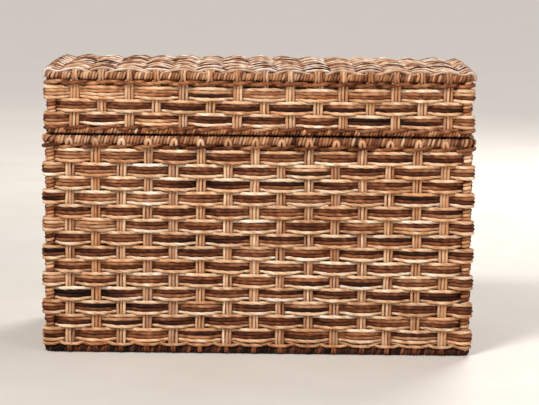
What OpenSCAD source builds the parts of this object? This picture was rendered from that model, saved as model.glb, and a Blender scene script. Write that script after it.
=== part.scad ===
// Woven storage trunk with a hinged lid.
// Frame: +X along the length, +Y to the back, +Z up.
// Origin: on the floor, at the middle of the trunk's outline.

/* [Overall size] */
// Length over the rim rods
trunk_length = 711; // [660:1:760]
// Depth over the rim rods
trunk_depth = 406; // [390:1:425]

/* [Weave] */
// Height of one course of the body, with its gap
course_pitch = 22.74; // [21:0.01:24]
// Height of one course of the lid, with its gap
lid_course_pitch = 21.3; // [20.5:0.01:23]
// Thickness of a woven strand
strand_t = 5.6; // [5:0.1:5.8]
// Diameter of one cane in a stake
cane_d = 5; // [4.5:0.1:5.2]
// Diameter of a corner post
post_d = 11; // [9:0.5:12]

/* [Rods] */
// Diameter of the wrapped base rod
base_rod_d = 13; // [12:0.5:14]
// Diameter of the wrapped rod around the mouth
rim_rod_d = 15.4; // [14:0.1:15.8]
// Diameter of the wrapped rod at the lid's lower edge
lid_rim_rod_d = 8; // [7.5:0.5:8.5]
// Diameter of the wrapped rod around the lid's top
lid_top_rod_d = 12.8; // [12:0.1:14]
// Thickness of the wrapping on every rod
wrap_t = 2.2; // [1.5:0.1:2.8]

/* [Lid hardware] */
// Distance of each hinge from the middle
hinge_x = 220; // [200:1:240]
// Width of a hinge
hinge_w = 62; // [56:1:70]
// Thickness of the hinge leaves
leaf_t = 0.8; // [0.6:0.1:0.8]
// Diameter of a hinge pin
hinge_pin_d = 2.5; // [2:0.1:2.6]
// Distance of each lid stay in front of the hinge line
stay_reach = 133.7; // [125:0.1:140]
// Width of a lid stay
stay_w = 13; // [12:0.5:15]

/* [Hidden] */
$fn = 48;

// Counts that the weave depends on: an even number of stakes around the wall
BODY_COURSES = 14;
LID_COURSES = 3;
LONG_STAKES = 15;
SHORT_STAKES = 8;
PANEL_STRIPS = 17;

// Small gaps
course_gap = 0.4;
cane_gap = 0.3;
weave_gap = 0.35;
wrap_gap = 0.2;
joint_gap = 0.15;
run_gap = 0.08;

// Plan of the wall: the line through the middle of the stakes
rim_bulge = 2.3;
wall_hx = trunk_length / 2 - rim_rod_d / 2 - rim_bulge;
wall_hy = trunk_depth / 2 - rim_rod_d / 2 - rim_bulge;
lid_inset = 2;
lid_hx = wall_hx - lid_inset;
lid_hy = wall_hy - lid_inset;
post_inset = 3;
corner_k = 1 - cos(45);

// The weave swings this far to each side of the stakes
swing = cane_d / 2 + weave_gap + strand_t / 2;
wall_half = swing + strand_t / 2;
stake_half = cane_d * 1.5 + cane_gap;
flat_half = stake_half + 1.2;
end_inset = 37.5;
long_pitch = 2 * (wall_hx - end_inset) / (LONG_STAKES - 1);
short_pitch = 2 * (wall_hy - end_inset) / (SHORT_STAKES - 1);

// Stack of heights
base_rod_z = base_rod_d / 2 - 0.3;
base_twine_z0 = base_rod_z + base_rod_d / 2 + 0.4;
base_twine_h = 6.5;
body_z0 = base_twine_z0 + base_twine_h + 0.3;
body_z1 = body_z0 + BODY_COURSES * course_pitch;
rim_twine_h = 7.4;
rim_rod_z = body_z1 + rim_twine_h + 0.4 + rim_rod_d / 2;
rim_z1 = rim_rod_z + rim_rod_d / 2;
seam = 2.6;
lid_z0 = rim_z1 + seam;
lid_rim_rod_z = lid_z0 + lid_rim_rod_d / 2;
lid_twine_z0 = lid_z0 + 3;
lid_twine_h = 9.4;
lid_weave_z0 = lid_twine_z0 + lid_twine_h + 0.3;
lid_weave_z1 = lid_weave_z0 + LID_COURSES * lid_course_pitch;
lid_top_twine_h = 10.8;
lid_top_rod_z = lid_weave_z1 + lid_top_twine_h + 0.4 + lid_top_rod_d / 2;
lid_post_z0 = lid_z0 + lid_rim_rod_d + 0.2;
lid_post_z1 = lid_top_rod_z - lid_top_rod_d / 2 - 0.2;
lid_top_bulge = 1;
top_panel_hx = lid_hx + lid_top_bulge - lid_top_rod_d / 2 - 0.4;
top_panel_hy = lid_hy + lid_top_bulge - lid_top_rod_d / 2 - 0.4;
top_panel_z = lid_top_rod_z + 4.4;
base_panel_z = 9.3;
panel_gap = 3;
band_t = 5;

// Hinge line, in the seam at the back
knuckle_r = 2.6;
hinge_y = trunk_depth / 2 - knuckle_r;
hinge_z = rim_z1 + seam / 2 + 0.4;
knuckle_gap = 0.4;
mid_knuckle = hinge_w / 3;
tongue = 0.6;
body_leaf_z = hinge_z - 0.6 - leaf_t;
lid_leaf_z = hinge_z - 0.2;
body_flange_y = wall_hy - wall_half - 0.2;
lid_band_n = lid_rim_rod_d / 2 + 0.4 + band_t / 2;
lid_flange_y = lid_hy - lid_band_n - band_t / 2 - 0.4;

// Rivets through the twine bands, between two stakes
rivet_d = 3;
rivet_hole_d = 3.2;
rivet_head_d = 7;
rivet_head_t = 1.4;
rivet_edge = 6;
body_rivet_z = body_z1 + rim_twine_h / 2;
lid_rivet_z = lid_twine_z0 + lid_twine_h - 2.5;
body_band_face = swing + band_t / 2;
lid_band_face = lid_band_n + band_t / 2;

// Lid stays: the body stud and the lid pivot are equally far from the hinge line
stay_y = hinge_y - stay_reach;
stay_drop = hinge_z - body_rivet_z;
stay_t = 2;
stay_x = wall_hx - 16.1;
stay_stud_z = hinge_z - stay_drop;
stay_pivot_z = hinge_z + stay_drop;
stay_span = sqrt(stay_reach * stay_reach + stay_drop * stay_drop);
stay_open = 100;
stay_far = 2 * stay_span * sin(stay_open / 2 + atan(stay_drop / stay_reach));
stud_d = 5;
stud_head_d = 9;
slot_w = stud_d + 0.7;
plate_t = 1.5;
plate_half = 30;
stud_plate_x = wall_hx - wall_half - 0.2;
pivot_plate_x = lid_hx - lid_band_face - 0.2;

cane_colour = [0.78, 0.58, 0.36];
post_colour = [0.72, 0.52, 0.32];
light_strand = [0.85, 0.68, 0.45];
dark_strand = [0.50, 0.34, 0.25];
wrap_colour = [0.70, 0.50, 0.34];
twine_colour = [0.52, 0.34, 0.27];
metal_colour = [0.60, 0.58, 0.54];

function two(n) = n < 10 ? str("0", n) : str(n);
function body_course_name(n) = str("weave_course_", two(n));
function lid_course_name(n) = str("lid_course_", n);

// ---------------------------------------------------------------- plan paths

function turn(p, a) = [p[0] * cos(a) - p[1] * sin(a), p[0] * sin(a) + p[1] * cos(a)];
function unit(v) = v / norm(v);
function outward(a, b) = let (d = unit(b - a)) [d[1], -d[0]];

// A closed path moved outward by d, with mitred corners
function moved_path(path, d) = [
    for (i = [0 : len(path) - 1])
        let (
            before = path[(i + len(path) - 1) % len(path)],
            after = path[(i + 1) % len(path)],
            n1 = outward(before, path[i]),
            n2 = outward(path[i], after)
        )
        path[i] + (n1 + n2) * d / (1 + n1 * n2)
];

// Half sizes and stake counts of side k: front, right, back, left
function reach_of(k, hx, hy) = k % 2 == 0 ? hy : hx;
function stakes_of(k) = k % 2 == 0 ? LONG_STAKES : SHORT_STAKES;
function pitch_of(k) = k % 2 == 0 ? long_pitch : short_pitch;
function stake_s(k, i) = (i - (stakes_of(k) + 1) / 2) * pitch_of(k);
// Each side starts one stake further around the ring than the last one ended
function first_index(k) = k == 0 ? 0 : first_index(k - 1) + stakes_of(k - 1) + 1;
function side(k, i, parity) = (first_index(k) + i + parity) % 2 == 0 ? -1 : 1;
function post_at(k, hx, hy) = turn(
    [reach_of(k + 1, hx, hy) - post_inset, -reach_of(k, hx, hy) + post_inset], 90 * k
);

// The weaver goes round a corner outside its post, or straight across inside it.
// Outside, it meets the post a little before the corner and leaves it a little after.
function corner_points(k, hx, hy, out) = let (
    post = post_at(k, hx, hy),
    r = post_d / 2 + weave_gap + strand_t / 2
) out > 0
    ? [for (a = [-112.5 : 22.5 : 22.5]) post + turn([r + 0.2, 0], a + 90 * k)]
    : [post + turn([r + 0.2, 0], 135 + 90 * k)];

function weaver_path(hx, hy, parity) = [
    for (k = [0 : 3])
        each concat(
            [
                for (i = [1 : stakes_of(k)])
                    for (e = [-1, 1])
                        turn(
                            [
                                stake_s(k, i) + e * flat_half,
                                -reach_of(k, hx, hy) - side(k, i, parity) * swing
                            ],
                            90 * k
                        )
            ],
            corner_points(k, hx, hy, side(k, stakes_of(k) + 1, parity))
        )
];

// A plain band inside or outside the stakes, n from the middle of the wall
function band_path(hx, hy, n) = [
    for (k = [0 : 3])
        let (
            post = post_at(k, hx, hy),
            r = post_inset + n,
            cut = post_d / 2 + weave_gap + band_t / 2
        )
        each n > 0
            ? [for (a = [-90 : 22.5 : 0]) post + turn([r, 0], a + 90 * k)]
            : [
                for (e = [-1, 1])
                    let (back = cut * sqrt(2) + n + post_inset)
                    post + turn(e < 0 ? [-back, n * -1 - post_inset] : [n + post_inset, back], 90 * k)
            ]
];

module flat_ring(path, t, z0, h) {
    outer = moved_path(path, t / 2);
    inner = moved_path(path, -t / 2);
    count = len(path);
    translate([0, 0, z0])
        linear_extrude(h)
            polygon(
                concat(outer, inner),
                [[for (i = [0 : count - 1]) i], [for (i = [0 : count - 1]) count + i]]
            );
}

module woven_ring(hx, hy, parity, z0, h) {
    flat_ring(weaver_path(hx, hy, parity), strand_t, z0, h);
}

// Two plain bands, one outside and one inside the stakes
module twine_ring(hx, hy, n, z0, h) {
    flat_ring(band_path(hx, hy, n), band_t, z0, h);
    flat_ring(band_path(hx, hy, -n), band_t, z0, h);
}

// ---------------------------------------------------------------- rods

module rod_section(r_out, r_in) {
    difference() {
        circle(r_out);
        if (r_in > 0) circle(r_in);
    }
}

// Four straight lengths joined by four elbows, whose bends pass over the corner posts
module rod_ring(hx, hy, post_hx, z, r_out, r_in = 0) {
    bend = (hx - post_hx) / corner_k;
    translate([0, 0, z])
        for (k = [0 : 3]) {
            along = reach_of(k + 1, hx, hy) - bend;
            rotate(90 * k) {
                translate([joint_gap - along, -reach_of(k, hx, hy), 0])
                    rotate([90, 0, 90])
                        linear_extrude(2 * (along - joint_gap))
                            rod_section(r_out, r_in);
                translate([along, bend - reach_of(k, hx, hy), 0])
                    rotate(-90)
                        rotate_extrude(angle = 90)
                            translate([bend, 0])
                                rod_section(r_out, r_in);
            }
        }
}

// bulge is how far the rod's middle stands outside the middle of the wall
module core_ring(hx, hy, bulge, z, d) {
    rod_ring(hx + bulge, hy + bulge, hx - post_inset, z, d / 2 - wrap_t);
}

module wrap_ring(hx, hy, bulge, z, d) {
    rod_ring(hx + bulge, hy + bulge, hx - post_inset, z, d / 2, d / 2 - wrap_t + wrap_gap);
}

// ---------------------------------------------------------------- stakes

// One stake is three canes side by side
module upright_stake(z0, z1) {
    for (c = [-1 : 1])
        translate([c * (cane_d + cane_gap), 0, z0])
            cylinder(d = cane_d, h = z1 - z0);
}

module side_stakes(k, hx, hy, z0, z1) {
    rotate(90 * k)
        for (i = [1 : stakes_of(k)])
            translate([stake_s(k, i), -reach_of(k, hx, hy), 0])
                upright_stake(z0, z1);
}

module corner_post(k, hx, hy, z0, z1) {
    p = post_at(k, hx, hy);
    translate([p[0], p[1], z0])
        cylinder(d = post_d, h = z1 - z0);
}

// Flat panel: stakes run front to back, strips run along the length
module panel_stakes(half_y, z) {
    translate([0, half_y, z])
        rotate([90, 0, 0])
            for (i = [1 : LONG_STAKES])
                translate([stake_s(0, i), 0, 0])
                    upright_stake(0, 2 * half_y);
}

function strip_line(half_x, parity) = concat(
    [[-half_x, side(0, 1, parity) * swing]],
    [
        for (i = [1 : LONG_STAKES])
            for (e = [-1, 1])
                if ((i > 1 || e > 0) && (i < LONG_STAKES || e < 0))
                    [stake_s(0, i) + e * flat_half, side(0, i, parity) * swing]
    ],
    [[half_x, side(0, LONG_STAKES, parity) * swing]]
);

module panel_strip(half_x, parity, w) {
    line = strip_line(half_x, parity);
    last = len(line) - 1;
    edge = [for (p = line) [p[0], p[1] + strand_t / 2]];
    under = [for (i = [0 : last]) [line[last - i][0], line[last - i][1] - strand_t / 2]];
    rotate([90, 0, 0])
        linear_extrude(w, center = true)
            polygon(concat(edge, under));
}

module woven_panel(half_x, half_y, z) {
    pitch = 2 * half_y / PANEL_STRIPS;
    for (j = [0 : PANEL_STRIPS - 1])
        translate([0, (j + 0.5) * pitch - half_y, z])
            panel_strip(half_x, j, pitch - course_gap);
}

// ---------------------------------------------------------------- body

module base_rod() {
    color(post_colour) core_ring(wall_hx, wall_hy, 0, base_rod_z, base_rod_d);
}

// The wrapping is flattened where the trunk stands on it
module base_wrap() {
    color(wrap_colour)
        difference() {
            wrap_ring(wall_hx, wall_hy, 0, base_rod_z, base_rod_d);
            translate([0, 0, -5])
                cube([trunk_length * 1.2, trunk_depth * 1.2, 10], center = true);
        }
}

module base_twine() {
    color(twine_colour)
        twine_ring(wall_hx, wall_hy, swing, base_twine_z0, base_twine_h);
}

module base_stakes() {
    color(cane_colour) panel_stakes(wall_hy - wall_half - panel_gap, base_panel_z);
}

module base_panel() {
    color(light_strand)
        woven_panel(wall_hx - wall_half - panel_gap, wall_hy - wall_half - panel_gap, base_panel_z);
}

module body_post(k) {
    color(post_colour)
        corner_post(k, wall_hx, wall_hy, base_twine_z0, rim_rod_z - rim_rod_d / 2 - 0.2);
}

module body_stakes(k) {
    color(cane_colour)
        side_stakes(k, wall_hx, wall_hy, base_twine_z0, rim_rod_z - rim_rod_d / 2 - 0.2);
}

// Course 1 is the highest one
module weave_course(n) {
    color(n % 2 == 0 ? dark_strand : light_strand)
        woven_ring(
            wall_hx, wall_hy, n + 1,
            body_z1 - n * course_pitch, course_pitch - course_gap
        );
}

module rim_twine() {
    color(twine_colour)
        difference() {
            twine_ring(wall_hx, wall_hy, swing, body_z1, rim_twine_h);
            body_rivet_places() rivet_hole();
        }
}

module rim_rod() {
    color(post_colour)
        core_ring(wall_hx, wall_hy, rim_bulge, rim_rod_z, rim_rod_d);
}

module rim_wrap() {
    color(wrap_colour)
        wrap_ring(wall_hx, wall_hy, rim_bulge, rim_rod_z, rim_rod_d);
}

// ---------------------------------------------------------------- lid

module lid_rim_rod() {
    color(post_colour) core_ring(lid_hx, lid_hy, 0, lid_rim_rod_z, lid_rim_rod_d);
}

module lid_rim_wrap() {
    color(wrap_colour) wrap_ring(lid_hx, lid_hy, 0, lid_rim_rod_z, lid_rim_rod_d);
}

module lid_rim_twine() {
    color(twine_colour)
        difference() {
            twine_ring(lid_hx, lid_hy, lid_band_n, lid_twine_z0, lid_twine_h);
            lid_rivet_places() rivet_hole();
        }
}

module lid_corner_posts() {
    color(post_colour)
        for (k = [0 : 3])
            corner_post(k, lid_hx, lid_hy, lid_post_z0, lid_post_z1);
}

module lid_stakes() {
    color(cane_colour)
        for (k = [0 : 3])
            side_stakes(k, lid_hx, lid_hy, lid_post_z0, lid_post_z1);
}

// Course 1 is the highest one
module lid_course(n) {
    color(n % 2 == 0 ? dark_strand : light_strand)
        woven_ring(
            lid_hx, lid_hy, n,
            lid_weave_z1 - n * lid_course_pitch, lid_course_pitch - course_gap
        );
}

module lid_top_twine() {
    color(twine_colour)
        twine_ring(lid_hx, lid_hy, swing, lid_weave_z1, lid_top_twine_h);
}

module lid_top_rod() {
    color(post_colour) core_ring(lid_hx, lid_hy, lid_top_bulge, lid_top_rod_z, lid_top_rod_d);
}

module lid_top_wrap() {
    color(wrap_colour) wrap_ring(lid_hx, lid_hy, lid_top_bulge, lid_top_rod_z, lid_top_rod_d);
}

module lid_top_stakes() {
    color(cane_colour) panel_stakes(top_panel_hy, top_panel_z);
}

module lid_top_panel() {
    color(light_strand) woven_panel(top_panel_hx, top_panel_hy, top_panel_z);
}

// ---------------------------------------------------------------- rivets

// A rivet along +Y: its inner head lies in front of y = 0
module rivet(length) {
    rotate([-90, 0, 0]) {
        translate([0, 0, -rivet_head_t])
            cylinder(d1 = rivet_head_d - 2, d2 = rivet_head_d, h = rivet_head_t);
        cylinder(d = rivet_d, h = length);
        translate([0, 0, length])
            cylinder(d1 = rivet_head_d, d2 = rivet_head_d - 2, h = rivet_head_t);
    }
}

module rivet_hole() {
    translate([0, -10, 0])
        rotate([-90, 0, 0])
            cylinder(d = rivet_hole_d, h = 50);
}

// Two places at each hinge, y0 on the inner face of the leaf
module hinge_places(y0, z) {
    for (s = [-1, 1])
        for (e = [-1, 1])
            translate([s * hinge_x + e * long_pitch / 2, y0, z])
                children();
}

// Two places at each stay, x0 on the inner face of its plate
module stay_places(x0, z) {
    for (s = [-1, 1])
        for (e = [-1, 1])
            translate([s * x0, stay_y + e * short_pitch / 2, z])
                rotate(-90 * s)
                    children();
}

module body_rivet_places() {
    hinge_places(body_flange_y - leaf_t, body_rivet_z) children();
    stay_places(stud_plate_x - plate_t, body_rivet_z) children();
}

module lid_rivet_places() {
    hinge_places(lid_flange_y - leaf_t, lid_rivet_z) children();
    stay_places(pivot_plate_x - plate_t, lid_rivet_z) children();
}

module body_rivets() {
    color(metal_colour) {
        hinge_places(body_flange_y - leaf_t, body_rivet_z)
            rivet(wall_hy + body_band_face - body_flange_y + leaf_t);
        stay_places(stud_plate_x - plate_t, body_rivet_z)
            rivet(wall_hx + body_band_face - stud_plate_x + plate_t);
    }
}

module lid_rivets() {
    color(metal_colour) {
        hinge_places(lid_flange_y - leaf_t, lid_rivet_z)
            rivet(lid_hy + lid_band_face - lid_flange_y + leaf_t);
        stay_places(pivot_plate_x - plate_t, lid_rivet_z)
            rivet(lid_hx + lid_band_face - pivot_plate_x + plate_t);
    }
}

// ---------------------------------------------------------------- hinges

module knuckle(x0, x1, leaf_z) {
    translate([x0, hinge_y - knuckle_r - tongue, leaf_z])
        cube([x1 - x0, knuckle_r + tongue - 1.6, leaf_t]);
    translate([x0, hinge_y, hinge_z])
        rotate([0, 90, 0])
            difference() {
                cylinder(r = knuckle_r, h = x1 - x0);
                translate([0, 0, -1])
                    cylinder(r = hinge_pin_d / 2 + run_gap, h = x1 - x0 + 2);
            }
}

// A leaf runs forward through the seam, then along the inside of the wall
module leaf(flange_y, flange_z0, flange_h, leaf_z) {
    translate([-hinge_w / 2, flange_y - leaf_t, leaf_z])
        cube([hinge_w, hinge_y - knuckle_r - tongue - flange_y + leaf_t, leaf_t]);
    translate([-hinge_w / 2, flange_y - leaf_t, flange_z0])
        cube([hinge_w, leaf_t, flange_h]);
}

module hinge_leaf_body(s) {
    color(metal_colour)
        difference() {
            translate([s * hinge_x, 0, 0]) {
                leaf(
                    body_flange_y, body_rivet_z - rivet_edge,
                    body_leaf_z + leaf_t - body_rivet_z + rivet_edge, body_leaf_z
                );
                knuckle(-hinge_w / 2, -mid_knuckle / 2 - knuckle_gap, body_leaf_z);
                knuckle(mid_knuckle / 2 + knuckle_gap, hinge_w / 2, body_leaf_z);
            }
            body_rivet_places() rivet_hole();
        }
}

module hinge_leaf_lid(s) {
    color(metal_colour)
        difference() {
            translate([s * hinge_x, 0, 0]) {
                leaf(lid_flange_y, lid_leaf_z, lid_rivet_z + 7 - lid_leaf_z, lid_leaf_z);
                knuckle(-mid_knuckle / 2, mid_knuckle / 2, lid_leaf_z);
            }
            lid_rivet_places() rivet_hole();
        }
}

module hinge_pin(s) {
    color(metal_colour)
        translate([s * hinge_x - hinge_w / 2 - 1, hinge_y, hinge_z])
            rotate([0, 90, 0])
                cylinder(d = hinge_pin_d, h = hinge_w + 2);
}

// ---------------------------------------------------------------- lid stays

module on_side(s) {
    if (s > 0) children();
    else mirror([1, 0, 0]) children();
}

// A stepped stud along -X from a plate's inner face: shoulder, shank and head
module stud(x_face, z) {
    shoulder = x_face - stay_x - stay_t / 2 - 0.4;
    translate([x_face, stay_y, z])
        rotate([0, -90, 0]) {
            cylinder(d = stud_head_d, h = shoulder);
            cylinder(d = stud_d, h = shoulder + stay_t + 1);
            translate([0, 0, shoulder + stay_t + 0.8])
                cylinder(d1 = stud_head_d, d2 = stud_head_d - 2, h = rivet_head_t);
        }
}

module stay_stud(s) {
    color(metal_colour)
        difference() {
            on_side(s) {
                translate([stud_plate_x - plate_t, stay_y - plate_half, body_rivet_z - rivet_edge])
                    cube([plate_t, 2 * plate_half, 2 * rivet_edge]);
                stud(stud_plate_x - plate_t, stay_stud_z);
            }
            body_rivet_places() rivet_hole();
        }
}

module stay_pivot(s) {
    color(metal_colour)
        difference() {
            on_side(s) {
                translate([pivot_plate_x - plate_t, stay_y - plate_half, lid_twine_z0 + 1])
                    cube([plate_t, 2 * plate_half, stay_pivot_z + 7 - lid_twine_z0 - 1]);
                stud(pivot_plate_x - plate_t, stay_pivot_z);
            }
            lid_rivet_places() rivet_hole();
        }
}

module bar(length, w) {
    translate([0, -w / 2])
        square([length, w]);
    circle(d = w);
    translate([length, 0])
        circle(d = w);
}

// The arm hangs from the lid's pivot, and its slot slides on the body's stud
module stay_arm(s) {
    slot_from = 2 * stay_drop - 0.6;
    slot_to = stay_far + 0.6;
    color(metal_colour)
        on_side(s)
            translate([stay_x - stay_t / 2, stay_y, stay_pivot_z])
                rotate([0, 90, 0])
                    linear_extrude(stay_t)
                        difference() {
                            bar(slot_to + 6, stay_w);
                            circle(d = stud_d + 2 * run_gap);
                            translate([slot_from, 0])
                                bar(slot_to - slot_from, slot_w);
                        }
}

// ---------------------------------------------------------------- the trunk

base_rod();
base_wrap();
base_twine();
base_stakes();
base_panel();
body_post(0);  // corner_post_front_right
body_post(1);  // corner_post_back_right
body_post(2);  // corner_post_back_left
body_post(3);  // corner_post_front_left
body_stakes(0);  // front_stakes
body_stakes(1);  // right_stakes
body_stakes(2);  // back_stakes
body_stakes(3);  // left_stakes
for (n = [1 : BODY_COURSES])
    weave_course(n);
rim_twine();
rim_rod();
rim_wrap();
hinge_leaf_body(-1);  // hinge_leaf_body_left
hinge_leaf_body(1);  // hinge_leaf_body_right
hinge_pin(-1);  // hinge_pin_left
hinge_pin(1);  // hinge_pin_right
stay_stud(-1);  // stay_stud_left
stay_stud(1);  // stay_stud_right
body_rivets();
lid_rim_rod();
lid_rim_wrap();
lid_rim_twine();
lid_corner_posts();
lid_stakes();
for (n = [1 : LID_COURSES])
    lid_course(n);
lid_top_twine();
lid_top_rod();
lid_top_wrap();
lid_top_stakes();
lid_top_panel();
hinge_leaf_lid(-1);  // hinge_leaf_lid_left
hinge_leaf_lid(1);  // hinge_leaf_lid_right
stay_pivot(-1);  // stay_pivot_left
stay_pivot(1);  // stay_pivot_right
lid_rivets();
stay_arm(-1);  // stay_arm_left
stay_arm(1);  // stay_arm_right
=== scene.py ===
import math

import bpy
import numpy as np
from mathutils import Matrix, Vector


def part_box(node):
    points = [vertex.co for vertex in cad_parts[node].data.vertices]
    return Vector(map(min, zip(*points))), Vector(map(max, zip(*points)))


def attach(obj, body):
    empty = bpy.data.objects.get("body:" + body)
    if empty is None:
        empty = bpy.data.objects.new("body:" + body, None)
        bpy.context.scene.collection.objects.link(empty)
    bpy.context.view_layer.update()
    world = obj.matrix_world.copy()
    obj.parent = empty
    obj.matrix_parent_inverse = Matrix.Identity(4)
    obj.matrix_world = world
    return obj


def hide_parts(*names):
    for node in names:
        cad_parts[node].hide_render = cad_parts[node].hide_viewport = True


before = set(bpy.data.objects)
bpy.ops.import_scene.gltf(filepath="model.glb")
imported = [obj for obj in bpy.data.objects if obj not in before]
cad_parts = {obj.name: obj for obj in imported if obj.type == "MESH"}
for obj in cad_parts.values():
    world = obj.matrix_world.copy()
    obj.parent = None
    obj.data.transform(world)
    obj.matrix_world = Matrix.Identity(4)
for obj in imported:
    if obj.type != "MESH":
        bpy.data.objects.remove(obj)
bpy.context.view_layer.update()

MM = 0.001
TAU = 2 * math.pi
UP = np.array([0.0, 0.0, 1.0])
FLOOR_Z = 0.0

# Sizes of the weave, in metres, and its counts, as the design has them
CANE = 5.0 * MM  # thickness of one cane; a stake is three side by side
CANE_STEP = 5.3 * MM
SWING = 5.65 * MM  # how far a weaver passes from the line of the stakes
POST_SWING_OUT = 9.2 * MM  # the same at a corner post, outside and inside it
POST_SWING_IN = 10.4 * MM
END_INSET = 37.5 * MM  # from the end of a wall to its first stake
POST_INSET = 3.0 * MM  # how far the stakes' line cuts a corner
LONG_STAKES = 15
SHORT_STAKES = 8
STAKES_ON = [LONG_STAKES, SHORT_STAKES, LONG_STAKES, SHORT_STAKES]
RING_STAKES = sum(STAKES_ON) + 4
PANEL_STRIPS = 17
BODY_COURSES = 14
LID_COURSES = 3

random = np.random.default_rng(1907)


# ---------------------------------------------------------------- camera

PHOTO_WIDTH = 539
FOCAL_PX = 2367
CAMERA_AT = Vector((0.021, -4.055, 0.715))
CAMERA_YAW = math.radians(-0.04)
CAMERA_PITCH = math.radians(6.835)
CAMERA_ROLL = math.radians(0.61)


def make_camera():
    data = bpy.data.cameras.new("camera")
    data.sensor_width = 36
    data.lens = FOCAL_PX / PHOTO_WIDTH * data.sensor_width
    data.clip_start, data.clip_end = 0.05, 60
    forward = Vector((
        math.sin(CAMERA_YAW) * math.cos(CAMERA_PITCH),
        math.cos(CAMERA_YAW) * math.cos(CAMERA_PITCH),
        -math.sin(CAMERA_PITCH),
    ))
    level = Vector((math.cos(CAMERA_YAW), -math.sin(CAMERA_YAW), 0))
    above = level.cross(forward)
    right = level * math.cos(CAMERA_ROLL) + above * math.sin(CAMERA_ROLL)
    up = above * math.cos(CAMERA_ROLL) - level * math.sin(CAMERA_ROLL)
    camera = bpy.data.objects.new("camera", data)
    camera.matrix_world = Matrix((right, up, -forward)).transposed().to_4x4()
    camera.location = CAMERA_AT
    bpy.context.scene.collection.objects.link(camera)
    bpy.context.scene.camera = camera


# ---------------------------------------------------------------- materials

def linear(red, green, blue):
    """A screen colour as the linear one that shaders take."""
    values = [v / 255 for v in (red, green, blue)]
    return [v / 12.92 if v <= 0.04045 else ((v + 0.055) / 1.055) ** 2.4 for v in values] + [1]


def blank_material(name):
    """A material with no nodes, and a short way to add a node and set or link its inputs."""
    material = bpy.data.materials.new(name)
    material.use_nodes = True
    tree = material.node_tree
    tree.nodes.clear()

    def make(kind, inputs, **settings):
        made = tree.nodes.new(kind)
        for key, value in settings.items():
            setattr(made, key, value)
        for key, value in inputs.items():
            if isinstance(value, bpy.types.NodeSocket):
                tree.links.new(value, made.inputs[key])
            else:
                made.inputs[key].default_value = value
        return made.outputs

    return material, make


def maths(make, operation, *values, clamp=False):
    return make("ShaderNodeMath", dict(enumerate(values)), operation=operation, use_clamp=clamp)[0]


def colour_ramp(make, factor, stops):
    outputs = make("ShaderNodeValToRGB", {"Fac": factor})
    ramp = outputs[0].node.color_ramp
    while len(ramp.elements) < len(stops):
        ramp.elements.new(0.5)
    for element, (place, colour) in zip(ramp.elements, stops):
        element.position = place
        element.color = linear(*colour)
    return outputs["Color"]


def tinted(make, factor, colour, tint, blend="MULTIPLY"):
    return make(
        "ShaderNodeMix", {"Factor": factor, "A": colour, "B": tint},
        data_type="RGBA", blend_type=blend,
    )["Result"]


def add_surface(make, inputs, height=None, strength=0.0, distance=0.0):
    """Ends a material in one surface shader, with the height pressed into it."""
    if height is not None:
        relief = {"Height": height, "Strength": strength, "Distance": distance}
        inputs["Normal"] = make("ShaderNodeBump", relief)["Normal"]
    shader = make("ShaderNodeBsdfPrincipled", inputs)["BSDF"]
    make("ShaderNodeOutputMaterial", {"Surface": shader})


# The colours of cane from tone 0 to tone 1
CANE_STOPS = [
    (0.00, (18, 7, 2)),
    (0.16, (55, 23, 9)),
    (0.30, (100, 52, 28)),
    (0.44, (148, 93, 59)),
    (0.58, (188, 136, 96)),
    (0.72, (217, 173, 133)),
    (0.86, (241, 209, 174)),
    (1.00, (255, 240, 220)),
]
WARM_TINT = (1.05, 0.84, 0.70, 1)
GREY_TINT = (0.84, 0.86, 0.98, 1)
# Painted shade for the grooves between lobes and the flanks where strands touch: its colour, how
# sharply it gathers and how strong it is
GROOVE_SHADE_TINT = (0.12, 0.05, 0.022, 1)
GROOVE_SHADE_SHARPNESS = 1.7
GROOVE_SHADE_STRENGTH = 0.95
# Noise cells in a metre, twice across a strand and once along it
FIBRE_CELLS = (620, 620, 60)
BLOTCH_CELLS = (260, 260, 46)


def strand_material(name, fibre=0.34, blotch=0.26, bump=0.7, roughness=0.72):
    """Dried cane or leaf: its tone and hue come from the mesh, with fibres along the strand,
    blotches, and painted shade in the grooves between lobes and on the flanks where strands touch.
    fibre and blotch are how far they change the tone."""
    material, make = blank_material(name)

    def attribute(label, output):
        return make("ShaderNodeAttribute", {}, **{"attribute_name": label})[output]

    def noise(scale, detail):
        place = make("ShaderNodeMapping", {"Vector": where, "Scale": scale})["Vector"]
        return make("ShaderNodeTexNoise", {"Vector": place, "Scale": 1.0, "Detail": detail})[0]

    where = attribute("where", "Vector")
    fibres = noise(FIBRE_CELLS, 4.0)
    blotches = noise(BLOTCH_CELLS, 3.0)
    fine = maths(make, "MULTIPLY_ADD", fibres, fibre, -fibre / 2)
    broad = maths(make, "MULTIPLY_ADD", blotches, blotch, -blotch / 2)
    tone = maths(make, "ADD", attribute("tone", "Fac"), maths(make, "ADD", fine, broad))
    colour = colour_ramp(make, tone, CANE_STOPS)
    hue = attribute("hue", "Fac")
    warm = maths(make, "MULTIPLY", hue, -1.0, clamp=True)
    grey = maths(make, "MULTIPLY", hue, 1.0, clamp=True)
    colour = tinted(make, warm, colour, WARM_TINT)
    colour = tinted(make, grey, colour, GREY_TINT)
    # Painted shade in the grooves and on the flanks, from the groove attribute
    groove = maths(make, "POWER", attribute("groove", "Fac"), GROOVE_SHADE_SHARPNESS)
    dark = maths(make, "MULTIPLY", groove, GROOVE_SHADE_STRENGTH, clamp=True)
    colour = tinted(make, dark, colour, GROOVE_SHADE_TINT)
    inputs = {"Base Color": colour, "Roughness": roughness, "Specular IOR Level": 0.15}
    add_surface(make, inputs, fibres, bump, 0.5 * MM)
    return material


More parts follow.
